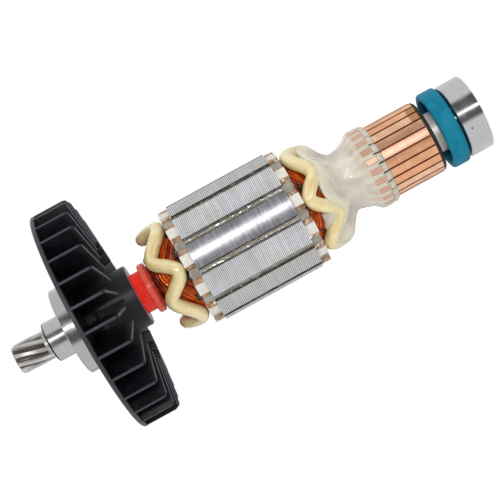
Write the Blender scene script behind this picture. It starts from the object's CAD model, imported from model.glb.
import math

import bmesh
import bpy
from mathutils import Matrix, Quaternion, Vector, noise


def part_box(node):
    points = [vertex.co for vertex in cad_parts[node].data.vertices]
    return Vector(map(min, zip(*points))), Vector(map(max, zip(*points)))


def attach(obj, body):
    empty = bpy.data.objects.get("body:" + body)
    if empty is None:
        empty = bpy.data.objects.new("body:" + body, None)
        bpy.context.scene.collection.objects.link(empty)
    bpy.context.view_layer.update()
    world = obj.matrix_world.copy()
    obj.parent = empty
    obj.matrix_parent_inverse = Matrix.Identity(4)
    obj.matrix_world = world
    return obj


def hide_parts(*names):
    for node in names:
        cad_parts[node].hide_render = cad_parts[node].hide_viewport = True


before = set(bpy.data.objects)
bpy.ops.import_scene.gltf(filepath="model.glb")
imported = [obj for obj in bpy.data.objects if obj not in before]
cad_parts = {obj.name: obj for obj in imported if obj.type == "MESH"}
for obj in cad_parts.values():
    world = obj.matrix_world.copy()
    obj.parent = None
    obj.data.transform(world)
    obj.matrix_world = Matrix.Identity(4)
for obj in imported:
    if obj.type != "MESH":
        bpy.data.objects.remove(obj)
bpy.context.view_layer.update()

MM = 0.001
TURN = 2 * math.pi


# ---------- Camera ----------
# A long lens 0.41 m away, level with the middle of the armature. It is rolled, so that the
# upright shaft lies in the view with its pinion at the lower left, its foot upper right.
camera_place = Vector((0, -0.41281, 0.0781685))
camera_target = Vector((-0.004053, 0, 0.0744282))
camera_roll = math.radians(-118.748)
lens = bpy.data.cameras.new("camera")
lens.sensor_width, lens.lens = 36, 105.48
lens.clip_start, lens.clip_end = 0.01, 10
camera = bpy.data.objects.new("camera", lens)
bpy.context.scene.collection.objects.link(camera)
bpy.context.scene.camera = camera
camera.location = camera_place
camera.rotation_mode = "QUATERNION"
camera.rotation_quaternion = ((camera_target - camera_place).to_track_quat("-Z", "Y")
                              @ Quaternion((0, 0, 1), camera_roll))


# ---------- Studio: floor, soft light and pale surroundings ----------
# The armature stands on a white table among white walls, under even light. A flash behind
# the camera and a bright screen in the dark room there draw the line along every round
# metal part, with a dark border on each side.
bpy.context.scene.view_settings.view_transform = "Standard"


def add(tree, kind, inputs=None, **settings):
    """A node of a tree, with its settings and with its inputs set or linked."""
    made = tree.nodes.new("ShaderNode" + kind)
    for key, value in settings.items():
        setattr(made, key, value)
    for key, value in (inputs or {}).items():
        if isinstance(value, bpy.types.NodeSocket):
            tree.links.new(value, made.inputs[key])
        else:
            made.inputs[key].default_value = value
    return made


def calc(tree, operation, *values):
    """Result of one sum on numbers or sockets."""
    return add(tree, "Math", dict(enumerate(values)), operation=operation).outputs[0]


def plus(tree, first, second):
    """Sum of two numbers or sockets."""
    return calc(tree, "ADD", first, second)


def minus(tree, first, second):
    """First number or socket less the second."""
    return calc(tree, "SUBTRACT", first, second)


def times(tree, product, *others):
    """Product of numbers or sockets."""
    for value in others:
        product = calc(tree, "MULTIPLY", product, value)
    return product


def rise(tree, value, low, high, start=0.0, end=1.0):
    """Start where a value is low, end where it is high, even between and level beyond."""
    return add(tree, "MapRange", {"Value": value, "From Min": low, "From Max": high,
                                  "To Min": start, "To Max": end}).outputs[0]


def glossy_ray(tree):
    """1 for rays that left a glossy surface, 0 for the rest."""
    return add(tree, "LightPath").outputs["Is Glossy Ray"]


def seen_directly(tree):
    """1 for rays from the camera, off a glossy surface or through glass, 0 for the rest."""
    path = add(tree, "LightPath").outputs
    glossy = calc(tree, "MAXIMUM", path["Is Camera Ray"], path["Is Glossy Ray"])
    return calc(tree, "MAXIMUM", glossy, path["Is Transmission Ray"])


def surroundings(tree, direction):
    """How bright the surroundings are that way: 1 all round for soft light. Reflections see
    brighter walls, the dark room behind the camera, which is wider above the horizon, a tall
    bright screen in it and a half dark door at the back."""
    level = add(tree, "VectorMath", {0: direction, 1: (1, 1, 0)}, operation="MULTIPLY")
    ahead = add(tree, "VectorMath", {0: level.outputs[0]}, operation="NORMALIZE").outputs[0]
    whole = add(tree, "VectorMath", {0: direction}, operation="NORMALIZE").outputs[0]
    up = add(tree, "SeparateXYZ", {0: whole}).outputs["Z"]
    high_up = rise(tree, up, 0.03, 0.09)

    def towards(azimuth, outer, inner):
        """1 within inner degrees of an azimuth, 0 beyond outer degrees."""
        angle = math.radians(azimuth)
        way = add(tree, "VectorMath", {0: ahead, 1: (math.sin(angle), -math.cos(angle), 0)},
                  operation="DOT_PRODUCT").outputs["Value"]
        return rise(tree, way, math.cos(math.radians(outer)), math.cos(math.radians(inner)))

    room = add(tree, "Mix", {0: high_up, 2: towards(16, 39, 29), 3: towards(8, 43, 33)},
               data_type="FLOAT").outputs[0]
    dark = times(tree, room, -1.02)
    door = times(tree, towards(197, 30, 18), -0.5)
    screen = times(tree, towards(12.4, 5.4, 1.5), 3.2)
    brighter_walls = 0.2
    seen = plus(tree, plus(tree, dark, door), plus(tree, screen, brighter_walls))
    return plus(tree, 1.0, times(tree, seen, glossy_ray(tree)))


WHITE = (1, 1, 1, 1)
soft_light, table_glow, table_mirror = 0.81, 0.46, 0.7
world = bpy.data.worlds.new("studio")
bpy.context.scene.world = world
world.use_nodes = True
tree = world.node_tree
tree.nodes.clear()
brightness = surroundings(tree, add(tree, "TexCoord").outputs["Generated"])
around = add(tree, "Background", {"Color": WHITE,
                                  "Strength": times(tree, brightness, soft_light)})
backdrop = add(tree, "Background", {"Color": WHITE, "Strength": 1.0})
is_camera = add(tree, "LightPath").outputs["Is Camera Ray"]
shown = add(tree, "MixShader", {0: is_camera, 1: around.outputs[0], 2: backdrop.outputs[0]})
add(tree, "OutputWorld", {"Surface": shown.outputs[0]})

table = bmesh.new()
bmesh.ops.create_grid(table, x_segments=1, y_segments=1, size=2)
floor_mesh = bpy.data.meshes.new("floor")
table.to_mesh(floor_mesh)
table.free()
floor = bpy.data.objects.new("floor", floor_mesh)
bpy.context.scene.collection.objects.link(floor)
paper = bpy.data.materials.new("white_table")
paper.use_nodes = True
tree = paper.node_tree
tree.nodes.clear()
# Mirrored in a round piece, each point of the table looks as the surroundings beyond it do,
# seen from the mirror's focus, halfway from the axis to the front of the rear bearing
ring_focus = 0.0055
from_focus = add(tree, "VectorMath", {0: add(tree, "TexCoord").outputs["Object"],
                                      1: (0, ring_focus, 0)}, operation="ADD").outputs[0]
brightness = surroundings(tree, from_focus)
matt = add(tree, "BsdfDiffuse", {"Color": (0.84, 0.84, 0.84, 1)})
glow = add(tree, "Emission", {"Color": WHITE,
                              "Strength": times(tree, seen_directly(tree), table_glow)})
both = add(tree, "AddShader", {0: matt.outputs[0], 1: glow.outputs[0]})
mirrored = add(tree, "Emission", {"Color": WHITE,
                                  "Strength": times(tree, brightness, table_mirror)})
shown = add(tree, "MixShader", {0: glossy_ray(tree), 1: both.outputs[0],
                                2: mirrored.outputs[0]})
add(tree, "OutputMaterial", {"Surface": shown.outputs[0]})
floor_mesh.materials.append(paper)

flash_place, flash_target = Vector((0.2, -0.87, 0.1)), Vector((0, 0, 0.08))
lamp = bpy.data.lights.new("flash", "AREA")
lamp.shape, lamp.size, lamp.energy = "DISK", 0.06, 1.7
flash = bpy.data.objects.new("flash", lamp)
bpy.context.scene.collection.objects.link(flash)
flash.location = flash_place
flash.rotation_mode = "QUATERNION"
flash.rotation_quaternion = (flash_target - flash_place).to_track_quat("-Z", "Y")


# ---------- Shaft and bearing collar ----------
# The shaft is one ground steel bar that carries every other piece, with the pinion's teeth
# hobbed into its end. The collar pressed on behind them is turned, and black on its edges.
def group(name, inputs, outputs):
    """A new shared effect with named inputs (name: type, value) and outputs (name: type)."""
    tree = bpy.data.node_groups.new(name, "ShaderNodeTree")
    for key, (kind, value) in inputs.items():
        made = tree.interface.new_socket(name=key, in_out="INPUT",
                                         socket_type="NodeSocket" + kind)
        if value is not None:
            made.default_value = value
    for key, kind in outputs.items():
        tree.interface.new_socket(name=key, in_out="OUTPUT", socket_type="NodeSocket" + kind)
    return tree, tree.nodes.new("NodeGroupInput").outputs


def ports(tree, **results):
    """Joins the results to a group's outputs."""
    end = tree.nodes.new("NodeGroupOutput")
    for key, socket in results.items():
        tree.links.new(socket, end.inputs[key.replace("_", " ")])


def effect(tree, name, **inputs):
    """Outputs of a shared effect placed in a material."""
    return add(tree, "Group", inputs, node_tree=bpy.data.node_groups[name]).outputs


# Place on the shaft: azimuth in turns from -Y towards +X, distance from the axis in
# millimetres and height in millimetres
MM_PER_M = 1000.0
tree, given = group("place on the shaft", {"Point": ("Vector", None)},
                    {"Turns": "Float", "Radius": "Float", "Height": "Float"})
split = add(tree, "SeparateXYZ", {0: given["Point"]}).outputs
minus_y = times(tree, split["Y"], -1.0)
angle = calc(tree, "ARCTAN2", split["X"], minus_y)
square = plus(tree, calc(tree, "POWER", split["X"], 2.0),
              calc(tree, "POWER", split["Y"], 2.0))
ports(tree, Turns=calc(tree, "DIVIDE", angle, TURN),
      Radius=times(tree, calc(tree, "SQRT", square), MM_PER_M),
      Height=times(tree, split["Z"], MM_PER_M))

# Fine lines round the shaft, as a lathe or grinder leaves them: lines are 0 to 1
tree, given = group("turning lines", {"Point": ("Vector", None), "Spacing": ("Float", 0.1),
                                      "Length": ("Float", 8.0)}, {"Lines": "Float"})
along = calc(tree, "DIVIDE", MM_PER_M, given["Spacing"])
across = calc(tree, "DIVIDE", MM_PER_M, given["Length"])
scale = add(tree, "CombineXYZ", {0: across, 1: across, 2: along}).outputs[0]
drawn = add(tree, "VectorMath", {0: given["Point"], 1: scale}, operation="MULTIPLY")
brushed = add(tree, "TexNoise", {"Vector": drawn.outputs[0], "Scale": 1.0, "Detail": 3.0,
                                 "Roughness": 0.6})
ports(tree, Lines=brushed.outputs["Fac"])

# Stains and handling marks: a mask that is 1 on the marks
tree, given = group("stains", {"Point": ("Vector", None), "Size": ("Float", 4.0),
                               "Cover": ("Float", 0.4)}, {"Mask": "Float"})
scale = calc(tree, "DIVIDE", MM_PER_M, given["Size"])
cloud = add(tree, "TexNoise", {"Vector": given["Point"], "Scale": scale, "Detail": 5.0,
                               "Roughness": 0.62, "Distortion": 0.4})
low_end = minus(tree, 0.78, given["Cover"])
mask = rise(tree, cloud.outputs["Fac"], low_end, plus(tree, low_end, 0.16))
ports(tree, Mask=mask)


def place_on_shaft(tree, point):
    """Turns, Radius and Height of the point being shaded."""
    return effect(tree, "place on the shaft", Point=point)


def turning_lines(tree, point, spacing, length=8.0):
    """Lines round the shaft, with their spacing and length in millimetres."""
    return effect(tree, "turning lines", Point=point, Spacing=spacing, Length=length)["Lines"]


def stains(tree, point, size, cover):
    """Marks of a size in millimetres; more cover gives more of them."""
    return effect(tree, "stains", Point=point, Size=size, Cover=cover)["Mask"]


def grain(tree, point, scale, detail, roughness=0.5):
    """Noise from 0 to 1 with scale cells to a metre."""
    return add(tree, "TexNoise", {"Vector": point, "Scale": scale, "Detail": detail,
                                  "Roughness": roughness}).outputs["Fac"]


def finish_of(name, **constants):
    """A new material: its tree, its surface shader and the point being shaded."""
    material = bpy.data.materials.new(name)
    material.use_nodes = True
    tree = material.node_tree
    shader = tree.nodes["Principled BSDF"]
    for key, value in constants.items():
        shader.inputs[key.replace("_", " ")].default_value = value
    return material, tree, shader, add(tree, "TexCoord").outputs["Object"]


def blend(tree, factor, first, second):
    """A colour between two colours."""
    made = add(tree, "Mix", {0: factor}, data_type="RGBA")
    for port, value in ((6, first), (7, second)):
        if isinstance(value, bpy.types.NodeSocket):
            tree.links.new(value, made.inputs[port])
        else:
            made.inputs[port].default_value = (*value, 1)
    return made.outputs[2]


def band(tree, value, low, high, edge):
    """1 where a value lies between low and high, with soft edges."""
    return times(tree, rise(tree, value, low - edge, low),
                 rise(tree, value, high, high + edge, 1.0, 0.0))


def spread(tree, value, low, high):
    """A mask stretched over a range of numbers."""
    return rise(tree, value, 0.0, 1.0, low, high)


def wire(tree, shader, colour=None, rough=None, height=None, depth=0.02, **others):
    """Joins the patterns of a material to its shader; depth of the relief in millimetres."""
    sockets = dict(others)
    if colour is not None:
        sockets["Base Color"] = colour
    if rough is not None:
        sockets["Roughness"] = rough
    if height is not None:
        relief = add(tree, "Bump", {"Height": height, "Distance": depth * MM,
                                    "Strength": 1.0})
        sockets["Normal"] = relief.outputs[0]
    for key, value in sockets.items():
        tree.links.new(value, shader.inputs[key.replace("_", " ")])


def steel(name, light, dark, rough, spacing, depth=0.003):
    """Ground steel with fine lines round it and faint marks from handling."""
    material, tree, shader, point = finish_of(name, Metallic=1.0)
    lines = turning_lines(tree, point, spacing)
    marks = stains(tree, point, 5.0, 0.3)
    colour = blend(tree, lines, dark, light)
    colour = blend(tree, times(tree, marks, 0.25), colour, dark)
    roughness = plus(tree, spread(tree, lines, rough - 0.06, rough + 0.06),
                     times(tree, marks, 0.08))
    wire(tree, shader, colour, roughness, lines, depth)
    return material, tree, shader, point, colour


def coat(node_name, material):
    """Gives a part of the frame its finish."""
    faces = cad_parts[node_name].data
    faces.materials.clear()
    faces.materials.append(material)


collar_low, collar_high = (corner.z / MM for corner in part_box("bearing_collar"))
root_radius, tip_radius, helix = 3.3, 4.35, math.radians(17)
shaft_steel, tree, shader, point = steel(
    "ground_shaft_steel", (0.66, 0.66, 0.67), (0.46, 0.46, 0.47), 0.26, 0.12)[:4]
where = place_on_shaft(tree, point)
on_teeth = calc(tree, "GREATER_THAN", where["Height"], collar_high + 0.1)
in_gap = rise(tree, where["Radius"], root_radius, tip_radius - 0.15, 1.0, 0.0)
oily = times(tree, on_teeth, in_gap, 0.95)
turns_per_mm = math.tan(helix) / tip_radius / TURN
wound = minus(tree, where["Turns"], times(tree, where["Height"], turns_per_mm))
along_teeth = add(tree, "CombineXYZ", {0: times(tree, wound, 110.0),
                                       1: times(tree, where["Radius"], 4.0),
                                       2: times(tree, where["Height"], 0.12)})
hobbed = grain(tree, along_teeth.outputs[0], 1.0, 2.0)
round_it = turning_lines(tree, point, 0.12)
lines = add(tree, "Mix", {0: on_teeth, 2: round_it, 3: hobbed}, data_type="FLOAT").outputs[0]
colour = blend(tree, spread(tree, lines, -0.4, 1.4), (0.42, 0.41, 0.4), (0.8, 0.79, 0.77))
rough = plus(tree, spread(tree, lines, 0.2, 0.34), times(tree, on_teeth, 0.14))
wire(tree, shader, blend(tree, oily, colour, (0.06, 0.045, 0.033)), rough, lines, 0.002)
coat("shaft", shaft_steel)

collar_steel, tree, shader, point, colour = steel(
    "turned_collar_steel", (0.52, 0.52, 0.53), (0.42, 0.42, 0.43), 0.2, 0.15, 0.001)
where = place_on_shaft(tree, point)
middle = band(tree, where["Height"], collar_low + 0.42, collar_high - 0.5, 0.06)
wire(tree, shader, blend(tree, middle, (0.02, 0.02, 0.022), colour))
coat("bearing_collar", collar_steel)


# ---------- Shaft insulator ----------
# A bright red moulded sleeve keeps the core and the winding off the shaft. Its flange and
# its fluted nose show between the winding and the fan; the plastic glows a little.
red, tree, shader, point = finish_of("red_moulding", Subsurface_Weight=0.25,
                                     Subsurface_Radius=(1.0, 0.25, 0.15),
                                     Subsurface_Scale=0.001, Specular_IOR_Level=0.1,
                                     Coat_Weight=0.2, Coat_Roughness=0.12, Coat_IOR=1.7)
where = place_on_shaft(tree, point)
nose_long, flange_thick = 5.1, 1.95
flange_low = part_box("shaft_insulator")[1].z / MM - nose_long
pale = band(tree, where["Height"], flange_low, flange_low + flange_thick, 0.08)
dusty = stains(tree, point, 2.5, 0.34)
colour = blend(tree, pale, (0.99, 0.014, 0.006), (0.92, 0.15, 0.09))
flaked = stains(tree, point, 1.6, 0.36)
colour = blend(tree, times(tree, flaked, 0.45), colour, (0.95, 0.03, 0.01))
colour = blend(tree, times(tree, dusty, 0.12), colour, (0.95, 0.3, 0.22))
fine = grain(tree, point, 2500.0, 3.0)
wire(tree, shader, colour, spread(tree, dusty, 0.32, 0.5), fine, 0.015)
coat("shaft_insulator", red)


# ---------- Laminated core ----------
# Sixty-two steel sheets, each with twelve teeth, pressed together on the red sleeve. Their
# edges show as fine grooves round the core; one tooth is turned smooth and shines.
def mesh_piece(name, form, material, body, slot, *nodes, sharp=35):
    """Makes a bmesh a finished piece: its material, the body it rides on, the record's
    finish and the parts of the frame that it stands for."""
    faces = bpy.data.meshes.new(name)
    form.to_mesh(faces)
    form.free()
    faces.shade_smooth()
    faces.set_sharp_from_angle(angle=math.radians(sharp))
    faces.materials.append(material)
    piece = bpy.data.objects.new(name, faces)
    bpy.context.scene.collection.objects.link(piece)
    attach(piece, body)
    if nodes:
        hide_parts(*nodes)
    return piece


def spot(turn, radius, height):
    """A point at an azimuth in degrees from -Y towards +X, in millimetres."""
    angle = math.radians(turn - 90)
    return Vector((radius * math.cos(angle), radius * math.sin(angle), height)) * MM


core_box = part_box("core_laminations")
core_low, core_high = core_box[0].z / MM, core_box[1].z / MM
core_radius = (core_box[1].x - core_box[0].x) / 2 / MM
SHEETS, TEETH = 62, 12
TOOTH_STEP, TOOTH_TURN = 360 // TEETH, 6.4
bore_radius, slot_floor, lip = 6.22, 9.6, 1.0
mouth, tooth_width = 2.05, 3.5
sheet_thick = (core_high - core_low) / SHEETS
groove_depth, groove_wide = 0.06, 0.12


def turn_of(half_width, radius):
    """Angle in degrees of a point beside a radial line."""
    return math.degrees(math.asin(half_width / radius))


def slot_wall(radius):
    """Half of a slot's angle at a radius, in degrees, beside teeth with parallel sides."""
    return TOOTH_STEP / 2 - turn_of(tooth_width / 2, radius)


def slot_turn(k):
    """Azimuth in degrees of the middle of a slot."""
    return TOOTH_TURN + TOOTH_STEP / 2 + TOOTH_STEP * k


steps_on_tip, bore_points = 7, 48
lip_radius = core_radius - lip
edge_turn = turn_of(mouth / 2, core_radius)
half_slot = [(turn_of(mouth / 2, lip_radius), lip_radius),
             (slot_wall(lip_radius), lip_radius), (slot_wall(slot_floor), slot_floor)]
sector = [(edge_turn + (TOOTH_STEP - 2 * edge_turn) * i / (steps_on_tip - 1), core_radius)
          for i in range(steps_on_tip)]
sector += [(TOOTH_STEP - turn, radius) for turn, radius in half_slot]
sector += [(TOOTH_STEP + turn, radius) for turn, radius in reversed(half_slot)]
core = bmesh.new()
outline = [core.verts.new(spot(TOOTH_TURN - TOOTH_STEP / 2 + TOOTH_STEP * k + turn, radius,
                               core_low))
           for k in range(TEETH) for turn, radius in sector]
bore = [core.verts.new(spot(360 * i / bore_points, bore_radius, core_low))
        for i in range(bore_points)]
ring = [core.edges.new((loop[i - 1], loop[i])) for loop in (outline, bore)
        for i in range(len(loop))]
ends = list(ring)
for i in range(SHEETS):
    for lift in (groove_wide / 2, sheet_thick - groove_wide, groove_wide / 2):
        grown = bmesh.ops.extrude_edge_only(core, edges=ring)["geom"]
        ring = [g for g in grown if isinstance(g, bmesh.types.BMEdge)]
        moved = [g for g in grown if isinstance(g, bmesh.types.BMVert)]
        bmesh.ops.translate(core, verts=moved, vec=(0, 0, lift * MM))
        ring = [e for e in ring if abs(e.verts[0].co.z - e.verts[1].co.z) < 1e-7
                and e.verts[0] in moved]
ends += ring
bmesh.ops.triangle_fill(core, edges=ends[:len(ends) // 2], use_beauty=True)
bmesh.ops.triangle_fill(core, edges=ends[len(ends) // 2:], use_beauty=True)
for v in core.verts:
    radius = math.hypot(v.co.x, v.co.y) / MM
    level = (v.co.z / MM - core_low) / sheet_thick
    if radius > core_radius - 0.01:
        turn = math.degrees(math.atan2(v.co.x, -v.co.y))
        smooth_tooth = abs(turn - TOOTH_TURN) < TOOTH_STEP / 2
        depth = groove_depth * (0.1 if smooth_tooth else 1.0)
        if abs(level - round(level)) * sheet_thick < groove_wide / 4:
            v.co.xy *= 1 - depth / radius
bmesh.ops.recalc_face_normals(core, faces=core.faces)


def by_chance(tree, number):
    """A shade from 0 to 1 for each whole number."""
    return add(tree, "TexWhiteNoise", {"W": number}, noise_dimensions="1D").outputs[0]


sheet_steel, tree, shader, point = finish_of("lamination_edges")
where = place_on_shaft(tree, point)
level = calc(tree, "DIVIDE", minus(tree, where["Height"], core_low), sheet_thick)
fraction = calc(tree, "FRACT", plus(tree, level, 0.5))
joint_line = band(tree, fraction, 0.42, 0.58, 0.2)
tooth = plus(tree, times(tree, where["Turns"], float(TEETH)), 0.5 - TOOTH_TURN / TOOTH_STEP)
tooth_number = calc(tree, "FLOOR", tooth)
is_smooth = band(tree, tooth, 0.0, 1.0, 0.001)
sheet_number = calc(tree, "ROUND", minus(tree, level, 0.5))
shade = by_chance(tree, plus(tree, sheet_number, times(tree, tooth_number, 7.3)))
lines = turning_lines(tree, point, 0.16, 5.0)
dull = blend(tree, shade, (0.76, 0.78, 0.82), (0.96, 0.97, 1.0))
own_shade = calc(tree, "COSINE", times(tree, tooth_number, math.pi / 2))
dull = blend(tree, rise(tree, own_shade, 0.0, -1.0, 0.0, 0.5), dull, (0.56, 0.55, 0.53))
patchy = stains(tree, point, 7.0, 0.36)
dull = blend(tree, times(tree, patchy, 0.4), dull, (0.62, 0.6, 0.55))
dull = blend(tree, times(tree, joint_line, 0.8), dull, (0.14, 0.14, 0.15))
bright = blend(tree, spread(tree, lines, -0.5, 1.5), (0.15, 0.155, 0.17), (0.42, 0.42, 0.44))
bright = blend(tree, times(tree, joint_line, 0.2), bright, (0.2, 0.2, 0.23))
rough = plus(tree, spread(tree, is_smooth, 0.46, 0.21),
             times(tree, minus(tree, lines, 0.5), 0.12))
rough = plus(tree, rough, times(tree, patchy, 0.07))
scratches = times(tree, lines, spread(tree, is_smooth, 1.0, 0.3))
in_slot = calc(tree, "LESS_THAN", where["Radius"], core_radius - 0.1)
colour = blend(tree, times(tree, in_slot, 0.9), blend(tree, is_smooth, dull, bright),
               (0.03, 0.026, 0.02))
wire(tree, shader, colour, rough, scratches, 0.003,
     Metallic=spread(tree, is_smooth, 0.45, 0.42))
mesh_piece("core", core, sheet_steel, "rotor", "lamination_steel", "core_laminations",
           sharp=50)


# ---------- Slot liners and end insulators ----------
# Varnished brown paper lines each slot and stands out of it, and a plate of white fibre
# board with an arm on every tooth keeps the coils off each end of the core.
def join_to(whole, part):
    """Adds one small form to a larger one."""
    loose = bpy.data.meshes.new("part")
    part.to_mesh(loose)
    part.free()
    whole.from_mesh(loose)


brown, tree, shader, point = finish_of("varnished_paper", Coat_Weight=1.0,
                                       Coat_Roughness=0.07, Coat_IOR=1.9)
fibres = grain(tree, point, 1800.0, 5.0, 0.7)
blobs = grain(tree, point, 620.0, 0.0)
colour = blend(tree, fibres, (0.3, 0.13, 0.026), (0.64, 0.33, 0.1))
thick = rise(tree, blobs, 0.35, 0.6, 0.7, 0.0)
colour = blend(tree, thick, colour, (0.1, 0.035, 0.012))
wet = stains(tree, point, 1.3, 0.25)
colour = blend(tree, wet, colour, (0.85, 0.75, 0.6))
wire(tree, shader, colour, spread(tree, fibres, 0.3, 0.5), blobs, 0.35)
coat("slot_liners", brown)

# Each cuff is a curled flap that starts at a tooth's side: how far it stands out, its
# radius, how far from the tooth's middle it starts and ends, and its thickness
cuff_out, cuff_radius, cuff_inner, cuff_outer, cuff_thick = 2.7, 16.75, 1.72, 3.1, 0.22
tooth_side_radius = 17.2
cuffs = bmesh.new()
for k in range(TEETH):
    for way, level in ((-1, core_low), (1, core_high)):
        for side in (-1, 1):
            cuff = bmesh.new()
            bmesh.ops.create_grid(cuff, x_segments=10, y_segments=10, size=0.5)
            for v in cuff.verts:
                along, across = v.co.x + 0.5, v.co.y + 0.5
                seed = Vector((k * 3.1 + side, way * 5 + along * 2, across * 2))
                reach = cuff_out * (1 + 0.12 * noise.noise(Vector((k, side * 3, way * 7))))
                radius = cuff_radius + 0.75 * math.sin(math.pi * min(1, across + 0.08)) ** 0.7 \
                    - 0.5 * along ** 4 - 0.25 * across + 0.3 * noise.noise(seed)
                reach_here = reach * (1 + 0.1 * noise.noise(seed * 1.7))
                beside = cuff_inner + across * (cuff_outer - cuff_inner)
                from_tooth = side * turn_of(beside, tooth_side_radius)
                turn = TOOTH_TURN + TOOTH_STEP * k + from_tooth
                v.co = spot(turn, radius, level + way * (0.03 + reach_here * along))
            bmesh.ops.recalc_face_normals(cuff, faces=cuff.faces)
            join_to(cuffs, cuff)
bmesh.ops.solidify(cuffs, geom=cuffs.faces[:], thickness=cuff_thick * MM)
bmesh.ops.recalc_face_normals(cuffs, faces=cuffs.faces)
mesh_piece("liner_cuffs", cuffs, brown, "rotor", "brown_paper", sharp=70)

board, tree, shader, point = finish_of("fibre_board", Specular_IOR_Level=0.3)
fibres = grain(tree, point, 1500.0, 6.0, 0.7)
soiled = stains(tree, point, 2.0, 0.3)
colour = blend(tree, fibres, (0.78, 0.75, 0.67), (0.93, 0.9, 0.83))
colour = blend(tree, times(tree, soiled, 0.4), colour, (0.66, 0.58, 0.42))
wire(tree, shader, colour, spread(tree, fibres, 0.55, 0.75), fibres, 0.03)
for name in ("rear_end_insulator", "front_end_insulator"):
    coat(name, board)


# ---------- Winding heads ----------
# Bundles of enamelled copper wire run from each slot round the shaft to the slot five
# teeth on, over a body of wire soaked in dark varnish. Gum from the dip hangs between them.
def tubes(name, paths, radius, material, slot, *nodes, sides=1, closed=False):
    """Round wires along lists of points, as one mesh piece on the rotor."""
    curve = bpy.data.curves.new(name, "CURVE")
    curve.dimensions = "3D"
    curve.bevel_depth, curve.bevel_resolution = radius * MM, sides
    curve.use_fill_caps = not closed
    for path in paths:
        spline = curve.splines.new("POLY")
        spline.points.add(len(path) - 1)
        spline.use_cyclic_u = closed
        for target, place in zip(spline.points, path):
            target.co = (*place, 1)
    bent = bpy.data.objects.new(name + "_line", curve)
    bpy.context.scene.collection.objects.link(bent)
    form = bmesh.new()
    faces = bpy.data.meshes.new_from_object(
        bent.evaluated_get(bpy.context.evaluated_depsgraph_get()))
    form.from_mesh(faces)
    bpy.data.objects.remove(bent)
    bmesh.ops.recalc_face_normals(form, faces=form.faces)
    return mesh_piece(name, form, material, "rotor", slot, *nodes, sharp=60)


winding_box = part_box("armature_winding")
wire_radius, wires_in_bundle, wire_points = 0.3, 7, 30
# The bead that binds each head lies on the wires: radius, depth of its middle under the
# core's radius, distances from the core and fall between them
bead_radius, bead_drop, bead_near, bead_far = 2.0, 2.95, 5.0, 10.35
bead_slope = 1.85 / (bead_far - bead_near)
bead_foot = bead_drop + bead_radius * 1.06
enamel, tree, shader, point = finish_of("enamelled_wire", Metallic=0.25, Coat_Weight=0.4,
                                        Coat_Roughness=0.07, Specular_IOR_Level=0.1)
soaked = stains(tree, point, 3.0, 0.34)
own_tone = add(tree, "NewGeometry").outputs["Random Per Island"]
tone = grain(tree, point, 500.0, 2.0)
mixed = plus(tree, times(tree, own_tone, 0.7), times(tree, tone, 0.4))
colour = blend(tree, spread(tree, mixed, -0.4, 1.35), (0.24, 0.008, 0.001), (1.0, 0.17, 0.008))
colour = blend(tree, times(tree, soaked, 0.4), colour, (0.15, 0.005, 0.001))
where = place_on_shaft(tree, point)
middle = (core_low + core_high) / 2
from_middle = calc(tree, "ABSOLUTE", minus(tree, where["Height"], middle))
from_core = minus(tree, from_middle, core_high - middle)
gummed = times(tree, band(tree, from_core, 0.0, 1.6, 1.8), spread(tree, soaked, 0.2, 1.0))
colour = blend(tree, gummed, colour, (0.018, 0.008, 0.007))
skin = minus(tree, core_radius - bead_foot,
             times(tree, minus(tree, from_core, bead_near), bead_slope))
below = minus(tree, skin, where["Radius"])
buried = rise(tree, below, 0.3, 1.2)
colour = blend(tree, times(tree, buried, 0.85), colour, (0.11, 0.005, 0.001))
wet = stains(tree, point, 0.6, 0.14)
colour = blend(tree, wet, colour, (0.95, 0.7, 0.5))
wire(tree, shader, colour, spread(tree, tone, 0.2, 0.4))

varnish, tree, shader, point = finish_of("dark_varnish", Coat_Weight=1.0,
                                         Coat_Roughness=0.06, Roughness=0.3)
tone = grain(tree, point, 600.0, 4.0)
wire(tree, shader, blend(tree, tone, (0.03, 0.003, 0.001), (0.12, 0.01, 0.003)), None,
     tone, 0.2)


def under_bead(distance):
    """Radius of the winding just under the bead, at a distance from the core."""
    return core_radius - bead_foot - bead_slope * (distance - bead_near)


def head_wires(level, way, reach, top_radius):
    """Paths of the wires on one winding head: level of the core's end, which way the head
    points, its length and the radius at its far end."""
    paths = []
    for k in range(-5, 7):
        depth = 0.4 * min(abs(k), 6 - abs(k))
        for j in range(wires_in_bundle):
            seed = Vector((k * 1.7, j * 2.3, way))
            outer = (j + 0.5) / wires_in_bundle - 0.5 + 0.05 * noise.noise(seed * 5.3)
            lift = 0.22 * noise.noise(seed * 3.1)
            path = []
            for i in range(wire_points + 1):
                t = i / wire_points
                turn = TOOTH_TURN + TOOTH_STEP * k + (t - 0.5) * (5 * TOOTH_STEP + 54 * outer)
                climb = math.sin(math.pi * t) ** 0.95
                far = 2.2 + (reach - 2.5 - 5.6 * (0.5 - outer)) * climb
                far += 0.3 * noise.noise(seed + Vector((t * 4, 0, 0)))
                skin = under_bead(max(far, 1.5)) - wire_radius - 0.05
                if far > bead_far - 1:
                    skin += (top_radius - skin) * (far - bead_far + 1) / (reach - bead_far + 1)
                path.append(spot(turn, skin - depth - lift, level + way * far))
            paths.append(path)
    return paths


def turned(profile, steps):
    """A form turned round the shaft from its closed half section of radii and heights."""
    form = bmesh.new()
    line = [form.verts.new((r * MM, 0, z * MM)) for r, z in profile]
    edges = [form.edges.new((line[i - 1], line[i])) for i in range(len(line))]
    bmesh.ops.spin(form, geom=edges, cent=(0, 0, 0), axis=(0, 0, 1), angle=TURN, steps=steps,
                   use_merge=True)
    return form


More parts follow.
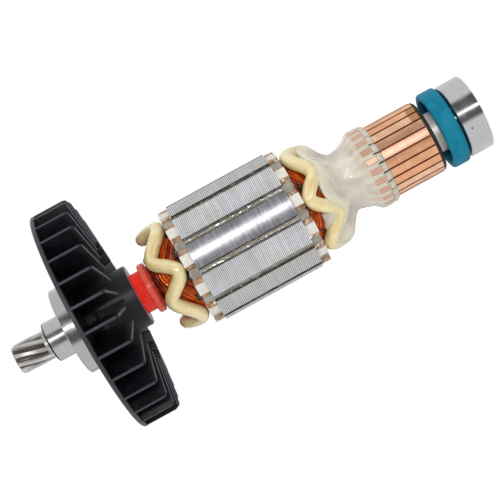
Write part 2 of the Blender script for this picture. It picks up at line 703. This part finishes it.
def head_core(level, way, reach, top_radius):
    """The varnish-filled body under the wires."""
    bore, cover = 6.6, 1.6
    profile = [(bore, 0.1), (under_bead(1.5) - cover, 0.1), (under_bead(2.5) - cover, 2.4)]
    profile += [(under_bead(x) - cover, x) for x in (4, 6, 8)]
    profile += [(top_radius - 1.4, reach - 0.9), (bore, reach - 0.7)]
    form = turned([(r, level + way * x) for r, x in profile], 72)
    bmesh.ops.recalc_face_normals(form, faces=form.faces)
    return form


heads = (("front", core_high, 1, winding_box[1].z / MM - core_high - 0.1, 8.4),
         ("rear", core_low, -1, core_low - winding_box[0].z / MM - 0.1, 10.0))
for name, level, way, reach, top_radius in heads:
    stands_for = ("armature_winding",) if name == "front" else ()
    mesh_piece(name + "_winding_body", head_core(level, way, reach, top_radius), varnish,
               "rotor", "enamelled_copper", *stands_for)
    tubes(name + "_winding_wires", head_wires(level, way, reach, top_radius), wire_radius,
          enamel, "enamelled_copper")


gum, tree, shader, point = finish_of("black_gum", Coat_Weight=1.0, Coat_Roughness=0.07,
                                     Roughness=0.25)
tone = grain(tree, point, 700.0, 1.0)
colour = blend(tree, tone, (0.005, 0.004, 0.005), (0.035, 0.008, 0.004))
wet = stains(tree, point, 0.7, 0.18)
wire(tree, shader, blend(tree, wet, colour, (0.8, 0.75, 0.7)), None, tone, 0.06)
lumps = bmesh.new()
for k in range(TEETH):
    for way, level in ((-1, core_low), (1, core_high)):
        seed = Vector((k * 2.7, way * 4.1, 0.5))
        # Distance from the core, turn from the slot's middle and size
        out = 3.9 + 1.4 * noise.noise(seed)
        drift = 9 * noise.noise(seed * 1.9)
        size = 0.75 + 1.1 * noise.noise(seed * 2.7)
        lump = bmesh.new()
        bmesh.ops.create_icosphere(lump, subdivisions=4, radius=1)
        for v in lump.verts:
            rough = 1 + 0.6 * noise.noise(v.co * 1.6 + seed)
            x, y, z = v.co * rough * size
            v.co = spot(slot_turn(k) + drift + 7.5 * x, under_bead(out) - 0.3 + 0.75 * y,
                        level + way * (out + 0.9 * z))
        bmesh.ops.recalc_face_normals(lump, faces=lump.faces)
        join_to(lumps, lump)
mesh_piece("varnish_lumps", lumps, gum, "rotor", "enamelled_copper", sharp=80)


# ---------- Slot wedges and varnish ----------
# A strip of stiff grey-green film closes every slot, rounded at both ends, and the varnish
# that ran along it lies in the slot's mouth as a wavy glossy bead.
film, tree, shader, point = finish_of("slot_film", Coat_Weight=0.8, Coat_Roughness=0.08,
                                      Subsurface_Weight=0.1, Subsurface_Scale=0.001)
tone = grain(tree, point, 500.0, 4.0)
colour = blend(tree, spread(tree, tone, -0.8, 1.8), (0.26, 0.24, 0.18), (0.44, 0.43, 0.36))
wire(tree, shader, colour, spread(tree, tone, 0.25, 0.45), tone, 0.15)

wedge_width, wedge_thick, wedge_out, wedge_points = 3.1, 0.4, 3.5, 26
wedges = bmesh.new()
half_core = (core_high - core_low) / 2
straight = half_core + wedge_out - wedge_width / 2
for k in range(TEETH):
    strip = bmesh.new()
    bmesh.ops.create_circle(strip, cap_ends=True, radius=wedge_width / 2,
                            segments=wedge_points,
                            matrix=Matrix.Rotation(math.pi / wedge_points, 4, "Z"))
    for v in strip.verts:
        v.co.x = math.copysign(straight + abs(v.co.x) * 0.6, v.co.x)
    up = bmesh.ops.extrude_face_region(strip, geom=strip.faces[:], use_keep_orig=True)["geom"]
    bmesh.ops.translate(strip, verts=[g for g in up if isinstance(g, bmesh.types.BMVert)],
                        vec=(0, 0, wedge_thick))
    rims = [e for e in strip.edges if e.verts[0].co.z == e.verts[1].co.z > 0]
    bmesh.ops.bevel(strip, geom=rims, offset=0.15, offset_type="OFFSET", affect="EDGES",
                    segments=2, profile=0.5, material=-1)
    for v in strip.verts:
        x, y, z = v.co
        droop = 0.05 * max(0, abs(x) - half_core) ** 2
        radius = lip_radius - 0.02 - wedge_thick + z - droop
        v.co = spot(slot_turn(k), radius, middle + x) + spot(slot_turn(k) + 90, y, 0)
    join_to(wedges, strip)
bmesh.ops.recalc_face_normals(wedges, faces=wedges.faces)
mesh_piece("slot_wedge_strips", wedges, film, "rotor", "grey_film", "slot_wedges")

run_varnish, tree, shader, point = finish_of("slot_varnish", Coat_Weight=1.0, Coat_IOR=1.9,
                                             Coat_Roughness=0.07, Roughness=0.3)
tone = grain(tree, point, 400.0, 4.0)
where = place_on_shaft(tree, point)
colour = blend(tree, spread(tree, tone, -0.6, 1.6), (0.13, 0.1, 0.055), (0.38, 0.35, 0.28))
slot_share = calc(tree, "FRACT", minus(tree, times(tree, where["Turns"], float(TEETH)),
                                       TOOTH_TURN / TOOTH_STEP))
beside = calc(tree, "ABSOLUTE", minus(tree, slot_share, 0.5))
at_wall = rise(tree, beside, 0.03, 0.075)
colour = blend(tree, at_wall, colour, (0.04, 0.03, 0.012))
wet = stains(tree, point, 0.7, 0.19)
colour = blend(tree, wet, colour, (0.9, 0.88, 0.8))
wire(tree, shader, colour, None, tone, 0.2)
run_thick = 0.12
runs = bmesh.new()
for k in range(TEETH):
    run = bmesh.new()
    bmesh.ops.create_grid(run, x_segments=2 * SHEETS, y_segments=8, size=0.5)
    for v in run.verts:
        share, c = v.co.x + 0.5, v.co.y * 2
        level = core_low + 0.1 + (core_high - core_low - 0.2) * share
        seed = Vector((c * 0.5, level * 0.45, k * 5.1))
        swell = 0.2 * noise.noise(seed) + 0.08 * noise.noise(seed * 3.1)
        radius = lip_radius + 0.02 + 0.5 * c * c + swell
        turn = slot_turn(k) + turn_of(c * mouth / 2 * 0.98, core_radius)
        v.co = spot(turn, min(radius, core_radius - 0.2), level)
    join_to(runs, run)
bmesh.ops.recalc_face_normals(runs, faces=runs.faces)
bmesh.ops.solidify(runs, geom=runs.faces[:], thickness=run_thick * MM)
bmesh.ops.recalc_face_normals(runs, faces=runs.faces)
mesh_piece("slot_varnish_runs", runs, run_varnish, "rotor", "grey_film", sharp=80)


# ---------- Binding beads ----------
# A thick bead of cream resin, laid by hand in waves over each winding head, holds the
# coils down when the armature spins. It is glossy and slightly translucent.
cream, tree, shader, point = finish_of("cream_resin", Subsurface_Weight=0.4,
                                       Subsurface_Radius=(1.0, 0.7, 0.35),
                                       Subsurface_Scale=0.002, Coat_Weight=1.0,
                                       Coat_Roughness=0.07, Coat_IOR=1.9)
cloudy = stains(tree, point, 3.5, 0.4)
swells = grain(tree, point, 260.0, 0.0)
bubbles = add(tree, "TexVoronoi", {"Vector": point, "Scale": 380.0}).outputs["Distance"]
bubble = rise(tree, bubbles, 0.1, 0.2, 1.0, 0.0)
colour = blend(tree, cloudy, (0.86, 0.67, 0.3), (0.94, 0.79, 0.43))
height = minus(tree, swells, times(tree, bubble, 0.15))
wire(tree, shader, colour, spread(tree, swells, 0.25, 0.45), height, 0.1)

# Bends of each bead: azimuth in degrees and share of the way from near to far
front_bends = ((-95, 1.0), (-63, 0.05), (-28, 1.0), (1, 0.0), (27, 0.98), (63, 0.0),
               (92, 0.97), (121, 0.03), (149, 1.0), (181, 0.04), (211, 0.98), (239, 0.0))
rear_bends = ((-90, 0.95), (-59, 0.0), (-28, 1.08), (1, 0.0), (28, 0.77), (63, 0.0),
              (93, 0.9), (120, 0.05), (152, 0.96), (178, 0.0), (209, 1.0), (240, 0.05))


def bead_centre(bends, way, turn):
    """Distance from the core and radius of a bead's middle at an azimuth in degrees."""
    first = bends[0][0]
    turn = first + (turn - first) % 360
    for (a, near), (b, far) in zip(bends, bends[1:] + ((first + 360, bends[0][1]),)):
        if a <= turn < b:
            swing = (1 - math.cos(math.pi * (turn - a) / (b - a))) / 2
            share = near + (far - near) * swing
            break
    angle = math.radians(turn)
    wobble = 0.18 * noise.noise(Vector((math.cos(angle) * 2, math.sin(angle) * 2, way * 3)))
    distance = bead_near + (bead_far - bead_near) * share + wobble * (1 - share)
    return distance, core_radius - bead_drop - bead_slope * (distance - bead_near)


def bead_path(bends, level, way):
    """Points along a bead that swings smoothly between its bends."""
    path = []
    for i in range(240):
        turn = i * 360 / 240
        distance, radius = bead_centre(bends, way, turn)
        path.append(spot(turn, radius, level + way * distance))
    return path


dent, dent_wide = 0.1, 2.2
for name, bends, level, way in (("front", front_bends, core_high, 1),
                                ("rear", rear_bends, core_low, -1)):
    bead = tubes(name + "_bead", [bead_path(bends, level, way)], bead_radius, cream,
                 "cream_resin", name + "_binding_bead", sides=6, closed=True)
    for v in bead.data.vertices:
        v.co += v.normal * dent * noise.noise(v.co / (dent_wide * MM)) * MM


# ---------- Commutator ----------
# Twenty-four hard copper bars moulded in black resin, turned bright where the brushes run.
# Each bar catches the light a little differently, and dark oxide lies in the grooves.
bar_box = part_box("commutator_bars")
bars_low, bars_high = bar_box[0].z / MM, bar_box[1].z / MM
track_radius, track_long, hooks_from = 10.9, 14.7, 15.2
BARS = 24
BAR_STEP = 360 // BARS
copper, tree, shader, point = finish_of("turned_copper", Metallic=1.0)
where = place_on_shaft(tree, point)
bar_turns = times(tree, where["Turns"], float(BARS))
bar_number = calc(tree, "ROUND", minus(tree, bar_turns, TOOTH_TURN / BAR_STEP))
chance = by_chance(tree, plus(tree, bar_number, 41.0))
from_top = calc(tree, "ABSOLUTE", bar_number)
lines = turning_lines(tree, point, 0.14, 9.0)
colour = blend(tree, chance, (0.99, 0.51, 0.28), (1.0, 0.71, 0.5))
colour = blend(tree, times(tree, lines, 0.3), colour, (0.8, 0.36, 0.2))
top_bar = calc(tree, "LESS_THAN", from_top, 0.5)
colour = blend(tree, times(tree, top_bar, 0.6), colour, (0.52, 0.38, 0.32))
tarnish = stains(tree, point, 3.5, 0.36)
colour = blend(tree, times(tree, tarnish, 0.3), colour, (0.5, 0.22, 0.1))
patch_bar = band(tree, bar_number, 2.0, 3.0, 0.4)
patch_end = band(tree, where["Height"], bars_low - 1, bars_low + 2.8, 0.15)
patch = times(tree, patch_bar, patch_end)
colour = blend(tree, times(tree, patch, 0.75), colour, (0.45, 0.2, 0.07))
sunk = rise(tree, where["Radius"], track_radius - 0.62, track_radius - 0.12, 1.0, 0.0)
on_track = calc(tree, "LESS_THAN", where["Height"], bars_low + track_long)
dirty = times(tree, sunk, on_track)
colour = blend(tree, dirty, colour, (0.4, 0.1, 0.03))
tilt = times(tree, minus(tree, chance, 0.5), 0.3, calc(tree, "MINIMUM", from_top, 1.0))
facing = add(tree, "NewGeometry").outputs["Normal"]
leaning = add(tree, "VectorRotate", {"Vector": facing, "Axis": (0, 0, 1), "Angle": tilt},
              rotation_type="AXIS_ANGLE").outputs[0]
relief = add(tree, "Bump", {"Height": lines, "Distance": 0.004 * MM, "Normal": leaning})
hooks = calc(tree, "GREATER_THAN", where["Height"], bars_low + hooks_from)
colour = blend(tree, hooks, colour, (0.74, 0.42, 0.3))
wire(tree, shader, colour, spread(tree, lines, 0.28, 0.42), Normal=relief.outputs[0],
     Metallic=spread(tree, hooks, 1.0, 0.35))
coat("commutator_bars", copper)

resin_black, tree, shader, point = finish_of("black_resin", Specular_IOR_Level=0.4)
tone = grain(tree, point, 900.0, 4.0)
colour = blend(tree, tone, (0.012, 0.01, 0.01), (0.03, 0.026, 0.025))
where = place_on_shaft(tree, point)
among_bars = calc(tree, "GREATER_THAN", where["Height"], bars_low + 0.02)
colour = blend(tree, among_bars, colour, (0.3, 0.06, 0.02))
wire(tree, shader, colour, spread(tree, tone, 0.4, 0.6), tone, 0.03)
coat("commutator_moulding", resin_black)

bush_steel = steel("bush_steel", (0.98, 0.96, 0.92), (0.85, 0.83, 0.79), 0.5, 0.2)[0]
coat("commutator_bush", bush_steel)


# ---------- Coil leads and neck resin ----------
# The coils' ends run from the hooks on the bars to the winding, buried in milky resin that
# was trickled on while the armature turned. It frames each hook and necks in behind them.
lead_wire, tree, shader, point = finish_of("lead_wire", Metallic=0.4, Roughness=0.3)
tone = grain(tree, point, 900.0, 2.0)
wire(tree, shader, blend(tree, tone, (0.45, 0.1, 0.03), (0.75, 0.25, 0.1)))
coat("coil_leads", lead_wire)

resin_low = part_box("lead_resin")[0].z / MM
hook_top = (bar_box[1].x - bar_box[0].x) / 2 / MM
notch_high, hook_low = bars_low + 16.6, bars_low + 16.3
milky, tree, shader, point = finish_of("milky_resin", Subsurface_Weight=0.7,
                                       Subsurface_Radius=(1.0, 0.8, 0.65),
                                       Subsurface_Scale=0.004, Coat_Weight=0.8,
                                       Coat_Roughness=0.07, Specular_IOR_Level=0.3)
where = place_on_shaft(tree, point)
cloudy = spread(tree, grain(tree, point, 170.0, 1.0), -1.2, 2.1)
speck = grain(tree, point, 330.0, 0.5)
colour = blend(tree, cloudy, (0.63, 0.57, 0.5), (0.83, 0.79, 0.68))
round_hooks = rise(tree, where["Height"], bars_high - 0.6, bars_high + 1.2, 0.8, 0.0)
colour = blend(tree, round_hooks, colour, (0.66, 0.58, 0.44))
bar_turns = minus(tree, times(tree, where["Turns"], float(BARS)), TOOTH_TURN / BAR_STEP)
hook_share = calc(tree, "FRACT", plus(tree, bar_turns, 0.5))
beside = calc(tree, "ABSOLUTE", minus(tree, hook_share, 0.5))
crevice = times(tree, band(tree, beside, 0.15, 0.25, 0.05),
                band(tree, where["Height"], hook_low - 0.1, bars_high - 0.5, 0.25))
colour = blend(tree, times(tree, crevice, 0.6), colour, (0.3, 0.15, 0.08))
lead_fades = rise(tree, where["Height"], bars_high - 0.6, bars_high + 4.5, 0.4, 0.0)
past_hooks = calc(tree, "GREATER_THAN", where["Height"], bars_high - 0.6)
lead_below = times(tree, lead_fades, times(tree, past_hooks,
                                           band(tree, beside, 0.0, 0.14, 0.16)))
colour = blend(tree, lead_below, colour, (0.62, 0.3, 0.2))
notch = times(tree, calc(tree, "GREATER_THAN", beside, 0.43),
              calc(tree, "LESS_THAN", where["Height"], notch_high))
colour = blend(tree, times(tree, notch, 0.8), colour, (0.1, 0.04, 0.025))
rear_head = winding_box[0].z / MM
blush = band(tree, where["Height"], rear_head - 3.2, rear_head + 0.8, 1.5)
faint = stains(tree, point, 2.6, 0.3)
colour = blend(tree, times(tree, blush, faint, 0.22), colour, (0.7, 0.3, 0.25))
raised = rise(tree, where["Radius"], 10.9, 14.2, 0.0, 0.85)
colour = blend(tree, raised, colour, (0.97, 0.88, 0.7))
by_bead = rise(tree, where["Radius"], 13.4, 16.0, 0.0, 0.8)
colour = blend(tree, by_bead, colour, (0.95, 0.78, 0.44))
wire(tree, shader, colour, spread(tree, speck, 0.3, 0.5), speck, 0.14)

groove_floor, resin_bore = 10.2, 10.8
# Outside of the resin: height and radius
resin_profile = ((resin_low, 11.0), (resin_low + 0.35, 11.45), (resin_low + 1.0, 11.75),
                 (resin_low + 2.5, 11.9), (resin_low + 4.6, 11.85), (bars_high, 11.6),
                 (bars_high + 0.8, 11.0), (bars_high + 1.8, 10.2), (bars_high + 4.1, 9.3),
                 (bars_high + 6.3, 8.85), (bars_high + 8.8, 9.25), (bars_high + 10.2, 10.4),
                 (bars_high + 11.2, 11.8), (bars_high + 13.2, 12.6), (bars_high + 16.2, 12.9),
                 (bars_high + 19, 13.2))
# How far the resin ran over the winding: azimuth and height
resin_ends = ((-180, 50.2), (-130, 51.5), (-85, 49.8), (-52, 53.4), (-24, 53.0), (-9, 49.6),
              (14, 49.4), (40, 48.8), (75, 50.6), (120, 49.2), (180, 50.2))


def between(line, x):
    """Value of a broken line at x."""
    for (x0, y0), (x1, y1) in zip(line, line[1:]):
        if x <= x1:
            return y0 + (y1 - y0) * (x - x0) / (x1 - x0)
    return line[-1][1]


def ramp(value, low, high):
    """0 below low, 1 above high and even between them."""
    return min(1, max(0, (value - low) / (high - low)))


def resin_radius(turn, level):
    """Radius of the resin's surface, with its lumps, ribs and windows over the hooks."""
    angle = math.radians(turn)
    seed = Vector((math.sin(angle) * 3, math.cos(angle) * 3, level * 0.28))
    on_neck = ramp(level, bars_high - 0.5, bars_high + 1.5)
    r = between(resin_profile, level) + (0.1 + 0.12 * on_neck) * noise.noise(seed)
    r += 0.07 * noise.noise(seed * 3.3)
    distance, bead_middle = bead_centre(rear_bends, -1, turn)
    behind = core_low - distance - level
    over_bead = bead_middle + bead_radius - 0.15 - 0.12 * max(0, -behind) ** 2
    reached = (1 + math.cos(math.pi * ramp(behind, 0, 7))) / 2
    r += max(0, over_bead - r) * reached
    off = (turn - TOOTH_TURN + BAR_STEP / 2) % BAR_STEP - BAR_STEP / 2
    side = abs(math.radians(off)) * hook_top
    at_hooks = 1 - ramp(level, bars_high, bars_high + 0.6)
    r += at_hooks * (0.22 * math.cos(math.radians(off) * 24) ** 2
                     * ramp(level, resin_low, resin_low + 1.2) - 0.1)
    drift = 0.3 * noise.noise(Vector((turn // BAR_STEP, 0, 7)))
    window = (1 - ramp(side, 0.5, 0.75)) * ramp(level, hook_low, hook_low + 0.4) \
        * (1 - ramp(level, bars_high - 1.0 + drift, bars_high - 0.5 + drift))
    r += (hook_top - 0.42 - r) * window
    groove = (1 - ramp(BAR_STEP / 2 - abs(off), 0, 1.6)) \
        * (1 - ramp(level, resin_low + 1.6, resin_low + 2.6))
    return r + (groove_floor - r) * groove


neck = bmesh.new()
RINGS, ROUND = 96, 240
bmesh.ops.create_circle(neck, radius=9 * MM, segments=ROUND)
bmesh.ops.translate(neck, verts=neck.verts, vec=(0, 0, resin_low * MM))
ring = neck.edges[:]
for i in range(RINGS + 2):
    grown = bmesh.ops.extrude_edge_only(neck, edges=ring)["geom"]
    verts = {g for g in grown if isinstance(g, bmesh.types.BMVert)}
    ring = [g for g in grown if isinstance(g, bmesh.types.BMEdge) and verts.issuperset(g.verts)]
    for v in verts:
        turn = math.degrees(math.atan2(v.co.x, -v.co.y))
        end = between(resin_ends, turn) + 0.4 * noise.noise(v.co * 400)
        level = resin_low + (end - resin_low) * min(i, RINGS) / RINGS
        r = resin_radius(turn, level) - 1.0 * ramp(i, RINGS - 5, RINGS) ** 2
        v.co = spot(turn, r if i <= RINGS else resin_bore, level)
bmesh.ops.recalc_face_normals(neck, faces=neck.faces)
mesh_piece("neck_resin", neck, milky, "rotor", "milky_resin", "lead_resin", sharp=70)


# ---------- Fan ----------
# A black moulded centrifugal fan: a plate with a seat for the bearing, a hub pressed on a
# metal bush, and twenty-eight straight blades whose rounded edges catch the light.
fan_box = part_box("fan")
fan_radius = (fan_box[1].x - fan_box[0].x) / 2 / MM
hub_low, plate_high = fan_box[0].z / MM, fan_box[1].z / MM
bush_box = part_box("fan_bush")
hub_bore = (bush_box[1].x - bush_box[0].x) / 2 / MM + 0.02
hub_radius, plate_thick, sink = hub_bore + 0.88, 1.3, 2.1
plate_low = plate_high - plate_thick
dish_radius = (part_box("front_bearing_outer_ring")[1].x) / MM + 0.6
dish_low = plate_high - sink - 0.35
BLADES, BLADE_TURN, blade_thick, blade_high = 28, 8.9, 0.9, 10.0
tip = plate_low - blade_high
black, tree, shader, point = finish_of("black_fan_plastic", Specular_IOR_Level=0.36)
tone = grain(tree, point, 300.0, 5.0)
fine = grain(tree, point, 4000.0, 2.0)
colour = blend(tree, tone, (0.002, 0.0025, 0.004), (0.008, 0.009, 0.013))
rubbed = stains(tree, point, 3.0, 0.28)
colour = blend(tree, times(tree, rubbed, 0.3), colour, (0.03, 0.03, 0.033))
where = place_on_shaft(tree, point)
slope = rise(tree, where["Radius"], 19.0, fan_radius - 1.2, tip - 1.4, tip)
from_edge = calc(tree, "ABSOLUTE", minus(tree, where["Height"], slope))
on_blade = calc(tree, "GREATER_THAN", where["Radius"], 17.0)
on_rim = calc(tree, "GREATER_THAN", where["Radius"], fan_radius - 0.14)
worn = calc(tree, "MAXIMUM", times(tree, calc(tree, "LESS_THAN", from_edge, 0.16), on_blade),
            times(tree, on_rim, 0.3))
colour = blend(tree, times(tree, worn, 0.8), colour, (0.13, 0.15, 0.18))
hub_end = calc(tree, "LESS_THAN", where["Height"], hub_low + 0.14)
colour = blend(tree, times(tree, hub_end, 0.8), colour, (0.2, 0.23, 0.27))
wire(tree, shader, colour, spread(tree, tone, 0.34, 0.5), fine, 0.012)

profile = [(hub_bore, hub_low), (hub_radius - 0.3, hub_low), (hub_radius, hub_low + 0.3),
           (hub_radius, dish_low - plate_thick - 1.5), (hub_radius + 0.35, dish_low - 2.0),
           (hub_radius + 1.5, dish_low - plate_thick),
           (dish_radius + 0.9, dish_low - plate_thick), (dish_radius + 1.9, plate_low),
           (fan_radius - 0.3, plate_low), (fan_radius, plate_low + 0.3),
           (fan_radius, plate_high - 0.3), (fan_radius - 0.3, plate_high),
           (dish_radius, plate_high), (dish_radius, dish_low), (hub_bore, dish_low)]
shell = turned(profile, 144)
outline = ((dish_radius + 1.3, plate_low + 0.6), (dish_radius + 1.3, plate_low - 2.0),
           (18.3, tip - 0.7), (19.0, tip - 1.4), (fan_radius - 1.2, tip),
           (fan_radius - 0.35, tip + 0.35), (fan_radius, tip + 1.2),
           (fan_radius, plate_low + 0.6))
for k in range(BLADES):
    blade = bmesh.new()
    corners = [blade.verts.new((r * MM, -blade_thick / 2 * MM, z * MM)) for r, z in outline]
    side = blade.faces.new(corners)
    up = bmesh.ops.extrude_face_region(blade, geom=[side], use_keep_orig=True)["geom"]
    bmesh.ops.translate(blade, verts=[g for g in up if isinstance(g, bmesh.types.BMVert)],
                        vec=(0, blade_thick * MM, 0))
    bmesh.ops.recalc_face_normals(blade, faces=blade.faces)
    rims = [e for e in blade.edges if abs(e.verts[0].co.y - e.verts[1].co.y) < 1e-7]
    bmesh.ops.bevel(blade, geom=rims, offset=0.26 * MM, offset_type="OFFSET", affect="EDGES",
                    segments=3, profile=0.5, material=-1)
    bmesh.ops.rotate(blade, verts=blade.verts, cent=(0, 0, 0),
                     matrix=Matrix.Rotation(math.radians(BLADE_TURN - 90 + k * 360 / BLADES),
                                            3, "Z"))
    join_to(shell, blade)
bmesh.ops.recalc_face_normals(shell, faces=shell.faces)
mesh_piece("cooling_fan", shell, black, "rotor", "black_plastic", "fan", sharp=40)
bush_metal = steel("bush_metal", (0.8, 0.81, 0.82), (0.6, 0.61, 0.62), 0.35, 0.25)[0]
coat("fan_bush", bush_metal)


# ---------- Bearings ----------
# Two shielded ball bearings of ground steel. Their rings shine with fine lines round them;
# the shields are pressed sheet, and the balls run in a sheet cage.
ring_steel, tree, shader, point, colour = steel(
    "ground_ring_steel", (0.68, 0.68, 0.69), (0.52, 0.52, 0.53), 0.15, 0.12, 0.001)
pit_place = add(tree, "VectorMath", {0: point, 1: spot(-21.3, 11.0, 4.72)}, operation="DISTANCE")
pit = rise(tree, pit_place.outputs["Value"], 0.2 * MM, 0.45 * MM, 0.8, 0.0)
wire(tree, shader, blend(tree, pit, colour, (0.08, 0.07, 0.06)))
front_steel = steel("front_ring_steel", (0.48, 0.48, 0.49), (0.37, 0.37, 0.38), 0.15, 0.12,
                    0.001)[0]
ball_steel = steel("ball_steel", (0.8, 0.8, 0.82), (0.72, 0.72, 0.74), 0.08, 0.3, 0.0)[0]
plate_steel = steel("shield_steel", (0.5, 0.5, 0.52), (0.36, 0.36, 0.38), 0.34, 0.3)[0]
for end in ("rear", "front"):
    coat(end + "_bearing_inner_ring", ring_steel)
    coat(end + "_bearing_outer_ring", ring_steel if end == "rear" else front_steel)
    coat(end + "_bearing_balls", ball_steel)
    coat(end + "_bearing_cage", plate_steel)
    coat(end + "_bearing_shields", plate_steel)


# ---------- Dust ring ----------
# A teal moulded cup between the rear bearing and the commutator, ribbed inside, which
# keeps brush dust out of the bearing. It is matt, and darker where dust has settled.
teal, tree, shader, point = finish_of("teal_moulding", Specular_IOR_Level=0.15)
where = place_on_shaft(tree, point)
dusty = stains(tree, point, 3.0, 0.36)
fine = grain(tree, point, 2200.0, 4.0)
colour = blend(tree, dusty, (0.003, 0.2, 0.32), (0.008, 0.24, 0.37))
inside = rise(tree, where["Radius"], 9.3, 9.9, 0.55, 0.0)
colour = blend(tree, inside, colour, (0.004, 0.05, 0.08))
wire(tree, shader, colour, spread(tree, fine, 0.42, 0.62), fine, 0.03)
coat("dust_ring", teal)
